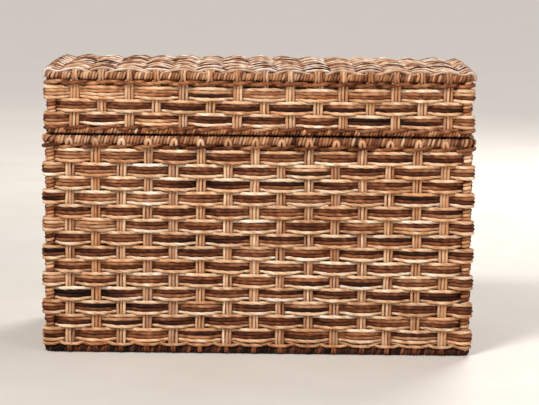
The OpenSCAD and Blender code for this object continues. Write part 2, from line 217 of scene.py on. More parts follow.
def metal_material(name, colour, worn, roughness):
    """Plated steel with a brushed grain and dull blotches."""
    material, make = blank_material(name)
    place = make("ShaderNodeTexCoord", {})["Object"]
    long = make("ShaderNodeMapping", {"Vector": place, "Scale": (40, 900, 900)})["Vector"]
    grain = make("ShaderNodeTexNoise", {"Vector": long, "Scale": 1.0, "Detail": 3.0})[0]
    blotch = make("ShaderNodeTexNoise", {"Vector": place, "Scale": 140.0, "Detail": 4.0})[0]
    mixed = maths(make, "MULTIPLY_ADD", blotch, 2.2, -0.75, clamp=True)
    shade = tinted(make, mixed, linear(*colour), linear(*worn), "MIX")
    rough = maths(make, "MULTIPLY_ADD", grain, 0.2, roughness - 0.1, clamp=True)
    inputs = {"Base Color": shade, "Metallic": 1.0, "Roughness": rough}
    add_surface(make, inputs, grain, 0.25, 0.2 * MM)
    return material


def rod_material(name):
    """The bare core rods: dark stained cane with a mottled grain."""
    material, make = blank_material(name)
    place = make("ShaderNodeTexCoord", {})["Object"]
    grain = make("ShaderNodeTexNoise", {"Vector": place, "Scale": 220.0, "Detail": 5.0})[0]
    colour = colour_ramp(make, grain, [(0.3, (40, 24, 16)), (0.7, (92, 60, 40))])
    add_surface(make, {"Base Color": colour, "Roughness": 0.7}, grain, 0.5, 0.4 * MM)
    return material


def floor_material():
    """A pale floor that glows softly away from the trunk, and so fades into the backdrop."""
    material, make = blank_material("floor")
    place = make("ShaderNodeTexCoord", {})["Object"]
    cloud = make("ShaderNodeTexNoise", {"Vector": place, "Scale": 3.0, "Detail": 3.0})[0]
    colour = colour_ramp(make, cloud, [(0.3, (214, 207, 198)), (0.7, (222, 216, 208))])
    far = make("ShaderNodeVectorMath", {0: place}, operation="LENGTH")["Value"]
    away = maths(make, "MULTIPLY_ADD", far, 0.30, -0.35, clamp=True)
    add_surface(make, {
        "Base Color": colour, "Roughness": 0.65, "Emission Color": linear(238, 230, 222),
        "Emission Strength": maths(make, "MULTIPLY", away, 0.5),
    })
    return material


MATERIALS = {
    "weave": strand_material("woven_strand"),
    "stake_cane": strand_material("stake_cane", fibre=0.26, blotch=0.18, bump=0.45, roughness=0.6),
    "post_cane": strand_material("post_wrapping"),
    "rod_wrapping": strand_material("rod_wrapping", blotch=0.3),
    "twine": strand_material("twine", blotch=0.3),
    "core_rod": rod_material("core_rod"),
    "hinge_metal": metal_material("hinge_steel", (176, 160, 132), (120, 100, 76), 0.42),
    "rivet_metal": metal_material("rivet_steel", (170, 158, 138), (110, 96, 80), 0.38),
    "stay_metal": metal_material("stay_steel", (168, 164, 156), (120, 112, 102), 0.4),
}


# ---------------------------------------------------------------- smooth noise

def wander(s, length, step, amount):
    """A smooth random line along s, closed over length, made of three waves of which the
    shortest is one step long. amount is about how far it strays."""
    waves = max(2, int(length / step))
    total = np.zeros_like(s)
    for share in (0.45, 0.8, 1.0):
        turns = max(1, int(waves * share))
        total += math.sqrt(1 / 3) * np.sin(TAU * (turns * s / length + random.random()))
    return amount * total


def smooth_path(points, count):
    """count points along a smooth curve through the given ones."""
    points = np.array(points, float)
    ends = [2 * points[0] - points[1]], [2 * points[-1] - points[-2]]
    p = np.concatenate([ends[0], points, ends[1]])
    u = np.linspace(0, len(points) - 1, count)
    k = np.minimum(u.astype(int), len(points) - 2)
    t = (u - k)[:, None]
    a, b, c, d = p[k], p[k + 1], p[k + 2], p[k + 3]
    square = 2 * a - 5 * b + 4 * c - d
    cube = 3 * b - a - 3 * c + d
    return 0.5 * (2 * b + (c - a) * t + square * t ** 2 + cube * t ** 3)


# ---------------------------------------------------------------- mesh building

STRAIGHT_TURN = 0.3  # the fibres of a strand without lobes turn once in this length
FLANK_START = 0.42  # where the painted shade on a flank begins, as a share of the strand's half width
FLANK_GAIN = 1.75
LOBE_GAIN = 3.2  # how dark the painted shade in the grooves between lobes is for their depth


class Builder:
    """Gathers swept tubes into one mesh, with the attributes that the materials read."""

    def __init__(self):
        self.points, self.faces, self.caps = [], [], []
        self.tone, self.hue, self.groove, self.where = [], [], [], []
        self.count = 0

    def tube(self, path, side_axis, wide, deep, tone, hue=0.0, sides=8, closed=False,
             lobes=0, twist=0.0, lobe_depth=0.0, flank_shade=0.55):
        """Sweeps an oval along path. side_axis points out of the wall, deep is the radius
        along it and wide the radius across it. lobes turn once every twist metres.
        tone goes from dark 0 to light 1, and hue from orange -1 to grey 1. The flanks that lie
        against the next strand get painted shade, as much as the last argument gives, and the
        grooves between lobes get painted shade too."""
        n = len(path)
        if closed:
            along = np.roll(path, -1, 0) - np.roll(path, 1, 0)
        else:
            along = np.gradient(path, axis=0)
        along /= np.linalg.norm(along, axis=1)[:, None]
        axis = side_axis - along * (side_axis * along).sum(1)[:, None]
        axis /= np.linalg.norm(axis, axis=1)[:, None]
        other = np.cross(along, axis)
        steps = np.linalg.norm(np.diff(path, axis=0), axis=1)
        run = np.concatenate([[0], np.cumsum(steps)])
        angle = np.arange(sides) / sides * TAU
        wide = np.broadcast_to(wide, (n,))
        deep = np.broadcast_to(deep, (n,))
        scale = np.ones((n, sides))
        groove = np.zeros((n, sides))
        if lobes:
            total = run[-1] + (np.linalg.norm(path[0] - path[-1]) if closed else 0)
            turns = max(1, round(total / twist))
            phase = angle[None, :] - TAU * turns * run[:, None] / total
            groove = 1 - np.abs(np.cos(phase * lobes / 2))
            scale = 1 - lobe_depth * groove ** 1.5
        offset = (
            axis[:, None, :] * (deep[:, None] * np.cos(angle) * scale)[..., None]
            + other[:, None, :] * (wide[:, None] * np.sin(angle) * scale)[..., None]
        )
        self.points.append((path[:, None, :] + offset).reshape(-1, 3))
        spun = angle[None, :] - TAU * run[:, None] / (twist if lobes else STRAIGHT_TURN)
        place = np.empty((n, sides, 3))
        place[..., 0] = np.cos(spun) * CANE / 2
        place[..., 1] = np.sin(spun) * CANE / 2
        place[..., 2] = (run + random.random() * 10)[:, None]
        self.where.append(place.reshape(-1, 3))
        self.tone.append(np.repeat(np.broadcast_to(tone, (n,)), sides))
        self.hue.append(np.repeat(np.broadcast_to(hue, (n,)), sides))
        # Painted shade on the flanks where strands touch, and in the grooves between lobes
        flank = np.clip((np.abs(np.sin(angle)) - FLANK_START) * FLANK_GAIN, 0, 1) * flank_shade
        groove = np.maximum(groove * min(1.0, lobe_depth * LOBE_GAIN), flank[None, :])
        self.groove.append(groove.reshape(-1))
        self.skin(n, sides, closed)

    def skin(self, n, sides, closed):
        """Faces between the n rings just added, and a cap at each end unless they close."""
        rows = n if closed else n - 1
        i = np.arange(rows)[:, None]
        j = np.arange(sides)[None, :]
        a = self.count + i * sides + j
        b = self.count + i * sides + (j + 1) % sides
        c = self.count + ((i + 1) % n) * sides + (j + 1) % sides
        d = self.count + ((i + 1) % n) * sides + j
        self.faces.append(np.stack([a, b, c, d], -1).reshape(-1, 4))
        if not closed:
            first = self.count + np.arange(sides)
            self.caps.append(first[::-1])
            self.caps.append(first + (n - 1) * sides)
        self.count += n * sides

    def flatten(self, height):
        """Presses flat whatever would hang below the height."""
        for points in self.points:
            np.maximum(points[:, 2], height, out=points[:, 2])

    def piece(self, name, slot, body, *nodes):
        """Makes the object, in the slot's material, riding on the body in place of the nodes."""
        points = np.concatenate(self.points)
        quads = np.concatenate(self.faces)
        mesh = bpy.data.meshes.new(name)
        corners = np.concatenate([quads.reshape(-1)] + self.caps)
        sizes = np.array([4] * len(quads) + [len(cap) for cap in self.caps])
        mesh.vertices.add(len(points))
        mesh.vertices.foreach_set("co", points.reshape(-1))
        mesh.loops.add(len(corners))
        mesh.loops.foreach_set("vertex_index", corners)
        mesh.polygons.add(len(sizes))
        mesh.polygons.foreach_set("loop_start", np.concatenate([[0], np.cumsum(sizes)[:-1]]))
        mesh.polygons.foreach_set("use_smooth", np.ones(len(sizes), bool))
        for label, kind, key, data in (
            ("tone", "FLOAT", "value", self.tone),
            ("hue", "FLOAT", "value", self.hue),
            ("groove", "FLOAT", "value", self.groove),
            ("where", "FLOAT_VECTOR", "vector", self.where),
        ):
            layer = mesh.attributes.new(label, kind, "POINT")
            layer.data.foreach_set(key, np.concatenate(data).reshape(-1).astype(np.float32))
        mesh.update(calc_edges=True)
        mesh.validate()
        mesh.materials.append(MATERIALS[slot])
        made = bpy.data.objects.new(name, mesh)
        bpy.context.scene.collection.objects.link(made)
        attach(made, body)
        if nodes:
            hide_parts(*nodes)


# ---------------------------------------------------------------- the wall's plan

KNOT_STRAY = 0.7 * MM  # how far a stake stands from its even place
LEAN_STRAY = 0.004  # how far it leans, as a slope
LEAN_MIDDLE = 0.2  # the height at which a leaning stake is in its place
POST_REACH = 0.6  # how near a post, in stakes, the weavers swing out for it


class Wall:
    """The closed line through the middle of one box's stakes, with a rounded bend at each post.
    drift moves the stakes in the middle of the front to the right."""

    def __init__(self, side_node, back_node, drift):
        self.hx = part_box(side_node)[1].x - CANE / 2
        self.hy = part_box(back_node)[1].y - CANE / 2
        self.bend = POST_INSET / (1 - math.cos(math.pi / 4))
        self.sides = []
        quarter = self.bend * math.pi / 2
        start = quarter / 2
        knots = []
        for k, stakes in enumerate(STAKES_ON):
            reach = self.hx if k % 2 == 0 else self.hy
            straight = 2 * (reach - self.bend)
            pitch = 2 * (reach - END_INSET) / (stakes - 1)
            middle = start + straight / 2
            knots.append(start - quarter / 2)
            for i in range(stakes):
                at = (i - (stakes - 1) / 2) * pitch
                sway = drift * (1 - 0.75 * (at / reach) ** 2) if k == 0 else 0
                knots.append(middle + at + sway + random.normal() * KNOT_STRAY)
            self.sides.append((start, straight))
            start += straight + quarter
        self.length = start - quarter / 2
        self.knots = np.array(knots + [self.length])
        self.lean = np.concatenate([random.normal(size=RING_STAKES) * LEAN_STRAY, [0]])
        for post in self.posts():
            self.lean[post] = 0

    @staticmethod
    def posts():
        """The places of the corner posts in the ring of stakes."""
        found = [0]
        for stakes in STAKES_ON[:-1]:
            found.append(found[-1] + stakes + 1)
        return found

    def stakes_on(self, k):
        """The places of the stakes on wall k: front, right, back or left."""
        first = self.posts()[k] + 1
        return range(first, first + STAKES_ON[k])

    def all_stakes(self):
        return [i for k in range(4) for i in self.stakes_on(k)]

    def at(self, s, n=0.0, z=0.0):
        """Points at s along the line, n outside it and z high, and the outward directions."""
        s = np.asarray(s, float) % self.length
        quarter = self.bend * math.pi / 2
        out = np.zeros((len(s), 3))
        facing = np.zeros((len(s), 3))
        for k, (start, straight) in enumerate(self.sides):
            along_reach, reach = (self.hx, self.hy) if k % 2 == 0 else (self.hy, self.hx)
            corner = start + straight
            for lower, upper, bending in (
                (start, corner, False),
                (corner, corner + quarter, True),
                (corner - self.length, corner + quarter - self.length, True),
            ):
                inside = (s >= lower) & (s < upper)
                t = s[inside] - lower
                if bending:
                    a = t / self.bend
                    x = along_reach - self.bend + self.bend * np.sin(a)
                    y = -(reach - self.bend) - self.bend * np.cos(a)
                    nx, ny = np.sin(a), -np.cos(a)
                else:
                    x = t - straight / 2
                    y = np.full_like(t, -reach)
                    nx, ny = np.zeros_like(t), -np.ones_like(t)
                ca, sa = math.cos(k * math.pi / 2), math.sin(k * math.pi / 2)
                out[inside, 0], out[inside, 1] = x * ca - y * sa, x * sa + y * ca
                facing[inside, 0], facing[inside, 1] = nx * ca - ny * sa, nx * sa + ny * ca
        points = out + facing * np.broadcast_to(n, s.shape)[:, None]
        points[:, 2] = z
        return points, facing

    def rings(self, step):
        """Evenly spaced places all round the line, about one step apart."""
        count = int(self.length / step)
        return np.arange(count) / count * self.length

    def stake_s(self, z):
        """Where each stake stands at height z, as it leans a little."""
        return self.knots + self.lean * (z - LEAN_MIDDLE)

    def weave(self, s, z, parity, swing=SWING):
        """How far a weaver is outside the line, from -1 inside a stake to +1 outside it,
        its distance, and its place counted in stakes."""
        q = np.interp(s, self.stake_s(z), np.arange(RING_STAKES + 1))
        side = np.sin(np.pi / 2 * -np.cos(np.pi * (q + parity)))
        near = np.zeros_like(q)
        for post in self.posts() + [RING_STAKES]:
            near = np.maximum(near, np.clip(1 - np.abs(q - post) / POST_REACH, 0, 1))
        post_swing = np.where(side > 0, POST_SWING_OUT, POST_SWING_IN)
        reach = swing + (post_swing - swing) * np.sin(near * np.pi / 2) ** 2
        return side, side * reach, q


# ---------------------------------------------------------------- strands

# Each course holds these strands from the top down: height share, radius in mm, kind
LIGHT, DARK = 0, 1
COURSE = [(0.125, 3.05, LIGHT), (0.38, 3.2, DARK), (0.62, 3.2, DARK), (0.875, 3.05, LIGHT)]
STRAND_STEP = (2.6 * MM, 1.3 * MM)  # between the rings of a light strand and of a dark one
COURSE_EXTRA = 0.4 * MM  # how much higher than its node a course is
# The dark sheet inside each course, painted shade for the chinks in its bundle
SHADE_SHEET_STEP = 4 * MM
SHADE_SHEET_THICKNESS = 0.9 * MM


def add_shade_sheet(mesh, wall, z_mid, height, parity):
    """A flat dark sheet in the middle of a course's bundle, which closes the chinks in it: painted
    shade, so that the chinks show dark instead of letting light through.
    """
    s = wall.rings(SHADE_SHEET_STEP)
    path, facing = wall.at(s, wall.weave(s, z_mid, parity)[1])
    path[:, 2] = z_mid
    mesh.tube(path, facing, height * 0.37, SHADE_SHEET_THICKNESS, 0.12, closed=True, flank_shade=0.0)


def segment_picks(q, base, spread):
    """A value that changes from one crossing to the next, and softly between."""
    picks = base + random.normal(size=int(q.max() / 2) + 3) * spread
    return np.interp(q / 2, np.arange(len(picks)), picks)


def lay_strand(mesh, path, facing, over, q, radius, kind, closed=True, lift=0.0, pale=0.0):
    """One strand of a bundle: a pale leaf with a tight twist, or a dark cord with a loose one.
    q is its place counted in stakes, and over how far it is in front of them. lift makes it
    lighter, most of all the dark ones, and pale makes both kinds greyer."""
    length = len(path) * STRAND_STEP[kind]
    s = np.linspace(0, 1, len(path)) * length
    if kind == LIGHT:
        swell = 0.99 + 0.07 * np.clip(over, 0, 1) + wander(s, length, 0.014, 0.11)
        wide, deep = radius * swell, radius * 0.86 * np.sqrt(2 - swell)
        tone = segment_picks(q, 0.76 + lift / 4 + pale / 5, 0.09) + wander(s, length, 0.02, 0.07)
        hue = segment_picks(q, pale - 0.15, 0.35)
        mesh.tube(path, facing, wide, deep, tone, hue, sides=10, closed=closed,
                  lobes=3, twist=0.048, lobe_depth=0.19, flank_shade=0.75)
    else:
        wide = radius * (0.98 + wander(s, length, 0.017, 0.11))
        tone = segment_picks(q, 0.35 + lift, 0.14) + wander(s, length, 0.011, 0.03)
        hue = segment_picks(q, pale + 0.1, 0.45)
        mesh.tube(path, facing, wide, wide, tone, hue, sides=10, closed=closed,
                  lobes=3, twist=0.085, lobe_depth=0.15, flank_shade=1.0)


def weave_course(name, wall, parity, body):
    """A course of the wall: four strands that pass in front of and behind the stakes."""
    low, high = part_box(name)
    height = high.z - low.z + COURSE_EXTRA
    mesh = Builder()
    # A dark sheet inside the bundle, as painted shade in its chinks
    add_shade_sheet(mesh, wall, (low.z + high.z) / 2, height, parity)
    shared = random.random()
    for share, radius, kind in COURSE:
        s = wall.rings(STRAND_STEP[kind])
        z_mid = high.z - share * height
        over, out, q = wall.weave(s, z_mid, parity)
        bow = (0.5 - share) * 2 * (0.65 * over + 0.05) * MM
        sag = 0.9 * MM * np.sin(TAU * (3 * s / wall.length + shared))
        z = z_mid + bow + sag + wander(s, wall.length, 0.06, 0.3 * MM)
        out = out + wander(s, wall.length, 0.05, 0.3 * MM)
        path, facing = wall.at(s, out)
        path[:, 2] = z
        lay_strand(mesh, path, facing, over, q, radius * MM, kind, True, random.normal() * 0.05)
    mesh.piece(name + "_strands", "weave", body, name)


# ---------------------------------------------------------------- twining

TWINE_STEP = 1.5 * MM


def twine(name, node, wall, body, rise, dip, swing, radius, tone, hue, above=0.0):
    """Two strands that twist about each other between the stakes. rise lifts a strand as it
    crosses a stake from left to right, and dip lowers it in front of the stake. above lifts
    both over the middle of the node."""
    low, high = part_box(node)
    z_mid = (low.z + high.z) / 2 + above
    mesh = Builder()
    s = wall.rings(TWINE_STEP)
    for parity in (0, 1):
        over, out, q = wall.weave(s, z_mid, parity, swing)
        turn = np.pi * (q + parity - 1)
        z = z_mid + rise * np.sin(turn) - dip * (over - 0.2)
        z = z + wander(s, wall.length, 0.05, 0.35 * MM)
        path, facing = wall.at(s, out + wander(s, wall.length, 0.05, 0.3 * MM))
        path[:, 2] = z
        width = radius * (1 + 0.1 * np.clip(over, 0, 1) + wander(s, wall.length, 0.02, 0.1))
        mesh.tube(path, facing, width, width * 0.95,
                  segment_picks(q, tone, 0.08) + wander(s, wall.length, 0.015, 0.05),
                  segment_picks(q, hue, 0.4), sides=10, closed=True,
                  lobes=3, twist=0.032, lobe_depth=0.24)
    mesh.piece(name, "twine", body, node)


# ---------------------------------------------------------------- stakes and posts

# Tone and hue of the canes: tan, grey, orange, pale
CANE_LOOKS = [(0.65, 0.1), (0.62, 0.8), (0.56, -0.3), (0.76, 0.2)]
CANE_ODDS = [0.42, 0.24, 0.22, 0.12]
STAKE_STEP = 4 * MM


def cane_look():
    """The tone and hue of one cane."""
    tone, hue = CANE_LOOKS[random.choice(len(CANE_LOOKS), p=CANE_ODDS)]
    return tone + random.normal() * 0.04, hue + random.normal() * 0.15


def add_stake(mesh, wall, index, z_low, z_high):
    """Three canes side by side."""
    count = int((z_high - z_low) / STAKE_STEP)
    z = np.linspace(z_low, z_high, count)
    height = z_high - z_low
    shared = wander(z, 2 * height, 0.15, 0.4 * MM)
    for place in (-1, 0, 1):
        s = wall.knots[index] + wall.lean[index] * (z - LEAN_MIDDLE) + shared
        s = s + place * CANE_STEP + wander(z, 2 * height, 0.09, 0.45 * MM)
        path, facing = wall.at(s, wander(z, 2 * height, 0.07, 0.3 * MM))
        path[:, 2] = z
        tone, hue = cane_look()
        size = CANE / 2 * (1.0 + random.normal() * 0.06)
        mesh.tube(path, facing, size * (1 + wander(z, 2 * height, 0.05, 0.05)), size,
                  tone + wander(z, 2 * height, 0.06, 0.04), hue, sides=9,
                  lobes=3, twist=0.11, lobe_depth=0.10)


def body_stakes(wall):
    """The body's stakes, one piece for each wall, from the base rod up to the rim rod."""
    for k, label in enumerate(("front", "right", "back", "left")):
        node = label + "_stakes"
        low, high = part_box(node)
        mesh = Builder()
        for index in wall.stakes_on(k):
            add_stake(mesh, wall, index, low.z - 6 * MM, high.z + 2 * MM)
        mesh.piece(node + "_canes", "stake_cane", "trunk", node)


def lid_stakes(wall):
    """The lid's stakes, from the rim rod up to the top hoop, as one piece."""
    low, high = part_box("lid_stakes")
    mesh = Builder()
    for index in wall.all_stakes():
        add_stake(mesh, wall, index, low.z - 3 * MM, high.z)
    mesh.piece("lid_stake_canes", "stake_cane", "lid", "lid_stakes")


POST_PITCH = 6.4 * MM
POST_CORD = 2.5 * MM
POST_RADIUS = 7.3 * MM
POST_CORE = 3.6 * MM
POST_RINGS = 30
LID_POST_INSET = 5.5 * MM
TURN_SAMPLES = 14


def add_wrapped_post(mesh, x, y, z_low, z_high):
    """A thick cane with a cord wound up it in rounded turns."""
    core = np.linspace((x, y, z_low), (x, y, z_high), POST_RINGS)
    mesh.tube(core, np.tile([1.0, 0, 0], (POST_RINGS, 1)), POST_CORE, POST_CORE, 0.2, sides=10)
    turns = (z_high - z_low) / POST_PITCH
    u = np.linspace(0, turns, int(turns * TURN_SAMPLES))
    lift = u * POST_PITCH + z_low
    angle = TAU * u + random.random() * TAU
    radial = np.stack([np.cos(angle), np.sin(angle), np.zeros_like(u)], -1)
    size = 1 + wander(u, turns * 2, 2.2, 0.08)
    path = radial * (POST_RADIUS - POST_CORD) + [x, y, 0] + lift[:, None] * UP
    picks = 0.56 + random.normal(size=int(turns) + 2) * 0.12
    mesh.tube(path, radial, POST_CORD * 1.3 * size, POST_CORD * size, picks[u.astype(int)],
              -0.3 + wander(u, turns * 2, 5, 0.4), sides=9, lobes=2, twist=0.02,
              lobe_depth=0.1, flank_shade=0.9)


def corner_posts():
    """The body's four posts, a piece each, and the lid's four as one piece."""
    for name in ("front_left", "front_right", "back_left", "back_right"):
        node = "corner_post_" + name
        low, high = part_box(node)
        mesh = Builder()
        add_wrapped_post(mesh, (low.x + high.x) / 2, (low.y + high.y) / 2,
                         low.z - 4 * MM, high.z + 1 * MM)
        mesh.piece(node + "_wrapped", "post_cane", "trunk", node)
    low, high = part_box("lid_corner_posts")
    mesh = Builder()
    for x in (low.x + LID_POST_INSET, high.x - LID_POST_INSET):
        for y in (low.y + LID_POST_INSET, high.y - LID_POST_INSET):
            add_wrapped_post(mesh, x, y, low.z - 2 * MM, high.z + 1 * MM)
    mesh.piece("lid_corner_posts_wrapped", "post_cane", "lid", "lid_corner_posts")


# ---------------------------------------------------------------- wrapped rods

WRAP_PITCH = 5.5 * MM
WRAP_SLANT = 0.5 * MM
WRAP_CORD = 2.9 * MM


def rod_section(wall, node):
    """How far outside the wall's line a hoop runs, its height and its radius."""
    low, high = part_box(node)
    radius = (high.z - low.z) / 2
    return high.x - radius - wall.hx, (low.z + high.z) / 2, radius


def wrap_rod(node, wall, tone, hue, pitch=WRAP_PITCH, cord=WRAP_CORD, fuller=0.0,
             shift=(0.0, 0.0)):
    """Cord wound round a hoop, one turn beside the next. fuller adds to its radius, and
    shift moves it outward and up. The mesh and the hoop's section come back."""
    out, z_rod, radius = rod_section(wall, node)
    out, z_rod, radius = out + shift[0], z_rod + shift[1], radius + fuller
    turns = int(wall.length / pitch)
    u = np.arange(turns * TURN_SAMPLES) / TURN_SAMPLES
    angle = TAU * u
    s = u / turns * wall.length + WRAP_SLANT * np.sin(angle) + wander(u, turns, 3, 0.7 * MM)
    middle, facing = wall.at(s, out, z_rod)
    radial = facing * np.cos(angle)[:, None] + UP * np.sin(angle)[:, None]
    turn = (u + 0.25).astype(int) % turns
    fat = 1.06 + random.normal(size=turns)[turn] * 0.12
    path = middle + radial * (radius - cord)
    tones = tone(u / turns) + random.normal(size=turns)[turn] * 0.10
    hues = hue + random.normal(size=turns)[turn] * 0.3
    mesh = Builder()
    mesh.tube(path, radial, pitch / 2 * fat, cord * np.minimum(fat, 1.1), tones, hues,
              sides=8, closed=True, lobes=2, twist=0.021, lobe_depth=0.12, flank_shade=1.0)
    return mesh, (out, z_rod, radius)


def add_loops(mesh, wall, section, half, size, low_angle, top_angle, tone, hue):
    """At each stake a cane comes up in front of the rod and goes back down beside itself.
    half is half the loop's width, and the angles are round the rod, up from outward."""
    out, z_rod, radius = section
    t = np.linspace(0, 1, 15)
    reach = radius + size * 0.55
    for index in wall.all_stakes():
        spread = half * (1 + random.normal() * 0.12)
        tilt = random.normal() * 0.8 * MM
        apex = top_angle + random.normal() * math.radians(7)
        climb = np.sin(np.pi * t) ** 0.55
        angle = low_angle + (apex - low_angle) * climb
        s = wall.stake_s(z_rod)[index] - spread * np.cos(np.pi * t) + tilt * climb
        middle, facing = wall.at(s, out, z_rod)
        radial = facing * np.cos(angle)[:, None] + UP * np.sin(angle)[:, None]
        mesh.tube(middle + radial * reach, radial, size, size * 0.9,
                  tone + random.normal() * 0.06, hue + random.normal() * 0.3, sides=8,
                  lobes=3, twist=0.03, lobe_depth=0.1)


# How the canes of a bent stake lie, in steps of one cane, and how often each way
BENT_PLACES = [(-0.55, 0.5), (-0.3, 0.75), (-0.95, 0.0, 0.9)]
BENT_ODDS = [0.45, 0.3, 0.25]
BENT_ANGLES = (-62, -25, 10, 45, 80, 115)  # degrees round the hoop
BENT_RINGS = 26
BENT_INNER = 15 * MM  # how far inside the hoop's line a cane ends
BENT_RISE = 3.2 * MM  # how far above it


def add_bent_stakes(mesh, wall, section, size):
    """Lid stakes come up in front of the top hoop and bend over it on to the panel."""
    out, z_rod, radius = section
    reach = radius + size * 0.7
    for index in wall.all_stakes():
        for place in BENT_PLACES[random.choice(3, p=BENT_ODDS)]:
            arc = [(out + reach * math.cos(a), z_rod + reach * math.sin(a))
                   for a in np.radians(BENT_ANGLES)]
            profile = smooth_path(arc + [(out - BENT_INNER, z_rod + BENT_RISE)], BENT_RINGS)
            climb = np.linspace(0, 1, BENT_RINGS)
            base = wall.stake_s(z_rod)[index]
            pinch = 1 - 0.28 * np.sin(np.pi * np.clip(climb * 1.3, 0, 1))
            s = base + place * CANE_STEP * pinch + random.normal() * 0.7 * MM * climb
            path, facing = wall.at(s, profile[:, 0])
            path[:, 2] = profile[:, 1]
            centre = wall.at(s, out, z_rod)[0]
            tone, hue = cane_look()
            mesh.tube(path, path - centre, size, size * 0.85, tone - 0.04, hue, sides=8,
                      lobes=2, twist=0.03, lobe_depth=0.16, flank_shade=0.9)


# ---------------------------------------------------------------- woven panels

PANEL_SWING = 4.7 * MM  # how far a strip's strands pass above and below the stakes
STAKE_DIP = 1.2 * MM  # how far the stakes give way to them
HOOP_DOME = 4.0 * MM  # how much higher the middle of a panel's short edges is
PANEL_RINGS = 120
FADE = 20 * MM  # over this length a strip's end comes to the height of its edge
BEND_START, BEND_END = 88, -15  # degrees of the bend over a hoop, up from outward
BEND_STRAY = 14
BEND_SPAN = 105


def panel_stake_x(wall, y, z):
    """Where the panel's stakes are at depth y: each runs from the front wall to the back."""
    knots = wall.stake_s(z)
    front = wall.at(knots[list(wall.stakes_on(0))])[0][:, 0]
    back = wall.at(knots[list(wall.stakes_on(2))[::-1]])[0][:, 0]
    share = (y + wall.hy) / (2 * wall.hy)
    return front + (back - front) * share


def panel_crown(x, y, wall, crown):
    """How far the panel is domed above its edges."""
    return crown * (1 - (x / wall.hx) ** 4) * (1 - (y / wall.hy) ** 4)


def add_panel_strip(mesh, wall, y_mid, height, z_mid, half, parity, steps, lift, crown, hoop):
    """A strip of four strands across the panel, over and under its stakes. Where a hoop is
    given, as x, z and radius, both ends bend over it and down its outer side."""
    rise = random.uniform(0.75, 1.15, size=LONG_STAKES + 2)
    stray = random.normal(size=LONG_STAKES) * 2.5 * MM
    for share, radius, kind in COURSE:
        strand_lift = random.normal() * 0.6 * MM
        step = steps[kind]
        y = y_mid + (0.5 - share) * height * 0.97
        count = int(2 * half / step)
        x = np.linspace(-half, half, count)
        stakes = panel_stake_x(wall, y, z_mid) + stray
        knots = np.concatenate([[-half - 8 * MM], stakes, [half + 8 * MM]])
        q = np.interp(x, knots, np.arange(len(knots)))
        over = -np.cos(np.pi * (q + parity))
        end = np.clip((np.abs(x) - half + FADE) / FADE, 0, 1) ** 2
        swing = PANEL_SWING * np.interp(q, np.arange(len(knots)), rise)
        dome = HOOP_DOME * (1 - (y / wall.hy) ** 2)
        z_end = hoop[1] + hoop[2] + radius * 0.8 * MM + dome if hoop else z_mid - 3.5 * MM
        z = z_mid + over * swing + strand_lift + panel_crown(x, y, wall, crown)
        z = z * (1 - end) + z_end * end + wander(x, 4 * half, 0.05, 0.5 * MM)
        bow = (0.5 - share) * 2 * (0.9 * over - 0.2) * MM
        path = np.stack([x, y + bow + wander(x, 4 * half, 0.06, 0.6 * MM), z], -1)
        facing = np.tile(UP, (count, 1))
        if hoop:
            path, facing = bend_ends(path, facing, hoop, radius * MM, step)
            extra = (len(path) - count) // 2
            over, q = np.pad(over, extra, "edge"), np.pad(q, extra, "edge")
        # lift and pale make a panel's strands lighter and greyer; on the lid's top that is painted
        # light and highlight for the bright top, partly also sun bleaching
        lay_strand(mesh, path, facing, over, q, radius * MM, kind, False,
                   lift - 0.04 + random.normal() * 0.06, 6 * lift)


def bend_ends(path, facing, hoop, radius, step):
    """Carries a strip's strand over the hoop at each end and down its outer side."""
    x_hoop, z_hoop, hoop_radius = hoop
    reach = hoop_radius + radius * 0.8
    count = int(math.radians(BEND_SPAN) * reach / step)
    arcs = []
    for sign, last in ((-1, path[0]), (1, path[-1])):
        last_angle = BEND_END - BEND_STRAY * random.random()
        angle = np.radians(np.linspace(BEND_START, last_angle, count))
        outward = np.stack([sign * np.cos(angle), 0 * angle, np.sin(angle)], -1)
        arc = outward * reach + [sign * x_hoop, last[1], z_hoop]
        arc[:, 2] += (last[2] - z_hoop - reach) * np.linspace(1, 0, count)
        arcs.append((arc, outward))
    (left, left_out), (right, right_out) = arcs
    return (np.concatenate([left[::-1], path, right]),
            np.concatenate([left_out[::-1], facing, right_out]))


def woven_panel(node, stakes_node, wall, body, pieces, steps, lift, crown=0.0, hoop=None):
    """Strips from end to end, shared out over so many pieces, and the stakes they cross.
    steps are between the rings of a light strand and of a dark one."""
    low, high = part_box(node)
    z_mid = (low.z + high.z) / 2
    pitch = (high.y - low.y) / PANEL_STRIPS
    half = hoop[0] - 0.5 * MM if hoop else high.x + 2 * MM
    for number in range(pieces):
        mesh = Builder()
        for j in range(number, PANEL_STRIPS, pieces):
            y = low.y + (j + 0.5) * pitch
            add_panel_strip(mesh, wall, y, pitch, z_mid, half, j, steps, lift, crown, hoop)
        mesh.flatten(FLOOR_Z)
        nodes = [node] if number == 0 else []
        mesh.piece(f"{node}_strips_{number + 1}", "weave", body, *nodes)
    low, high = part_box(stakes_node)
    z_stake = (low.z + high.z) / 2
    mesh = Builder()
    y = np.linspace(low.y, high.y, PANEL_RINGS)
    stakes = np.array([panel_stake_x(wall, v, z_stake) for v in y])
    strip = (y - low.y) / pitch - 0.5
    for i in range(LONG_STAKES):
        dip = STAKE_DIP * np.cos(np.pi * (strip + i))
        for place in (-1, 0, 1):
            x = stakes[:, i] + place * CANE_STEP + wander(y, 1.0, 0.09, 0.4 * MM)
            z = z_stake + dip + panel_crown(x, y, wall, crown) + wander(y, 1.0, 0.07, 0.3 * MM)
            tone, hue = cane_look()
            mesh.tube(np.stack([x, y, z], -1), np.tile(UP, (PANEL_RINGS, 1)), CANE / 2,
                      CANE / 2, tone, hue, sides=8, lobes=3, twist=0.11, lobe_depth=0.1)
    mesh.piece(stakes_node + "_canes", "stake_cane", body, stakes_node)


# ---------------------------------------------------------------- light and floor

FLOOR_SIZE = 80
SKY_COLOUR = (1.0, 0.97, 0.945, 1)
SKY_STRENGTH = 0.25
